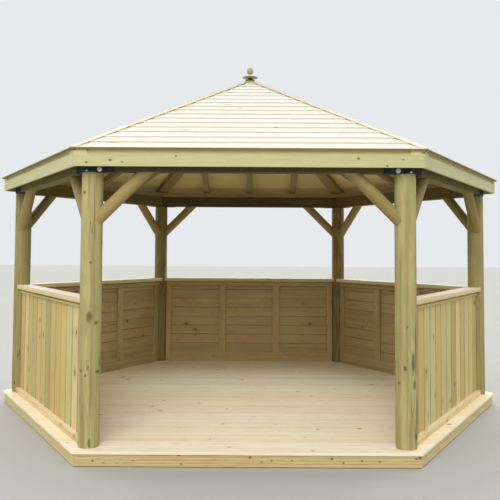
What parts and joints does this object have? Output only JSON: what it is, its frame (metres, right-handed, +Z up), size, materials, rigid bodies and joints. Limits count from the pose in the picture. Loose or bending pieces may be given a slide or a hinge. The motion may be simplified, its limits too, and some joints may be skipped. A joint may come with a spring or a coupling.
{
  "type": "hexagonal garden gazebo",
  "caption": "Hexagonal timber garden gazebo with round braced posts, low boarded walls, an open front, a raised deck and a stepped boarded roof with a turned finial.",
  "frame": {"origin": "middle of the base underside, on the ground", "axes": "+Z up, -Y out of the open front, +X to the right seen from in front"},
  "size_m": [4.8126, 4.1682, 3.2347],
  "materials": {
    "deck_timber": "grooved softwood, sawn",
    "frame_timber": "sawn softwood",
    "base_timber": "reeded softwood",
    "post_timber": "turned round softwood pole",
    "beam_timber": "planed softwood",
    "brace_timber": "turned round softwood pole",
    "bracket_steel": "zinc plated sheet, dulled",
    "roof_timber": "sawn softwood boards",
    "fascia_timber": "planed softwood",
    "finial_timber": "turned softwood",
    "panel_timber": "planed softwood boards",
    "rail_timber": "planed softwood"
  },
  "bodies": {
    "root": {"deck_boards": "deck_timber", "base_frame": "frame_timber", "base_fascia": "base_timber", "post_front_right": "post_timber", "post_right": "post_timber", "post_rear_right": "post_timber", "post_rear_left": "post_timber", "post_left": "post_timber", "post_front_left": "post_timber", "ring_beam": "beam_timber", "braces_front_right": "brace_timber", "braces_right": "brace_timber", "braces_rear_right": "brace_timber", "braces_rear_left": "brace_timber", "braces_left": "brace_timber", "braces_front_left": "brace_timber", "post_brackets": "bracket_steel", "roof_boards_front": "roof_timber", "roof_boards_front_right": "roof_timber", "roof_boards_rear_right": "roof_timber", "roof_boards_rear": "roof_timber", "roof_boards_rear_left": "roof_timber", "roof_boards_front_left": "roof_timber", "roof_frame_front": "frame_timber", "roof_frame_front_right": "frame_timber", "roof_frame_rear_right": "frame_timber", "roof_frame_rear": "frame_timber", "roof_frame_rear_left": "frame_timber", "roof_frame_front_left": "frame_timber", "eaves_fascia": "fascia_timber", "hip_caps": "roof_timber", "finial": "finial_timber", "panel_front_right": "panel_timber", "panel_rear_right": "panel_timber", "panel_rear": "panel_timber", "panel_rear_left": "panel_timber", "panel_front_left": "panel_timber", "cap_rail_front_right": "rail_timber", "cap_rail_rear_right": "rail_timber", "cap_rail_rear": "rail_timber", "cap_rail_rear_left": "rail_timber", "cap_rail_front_left": "rail_timber"}
  },
  "joints": []
}
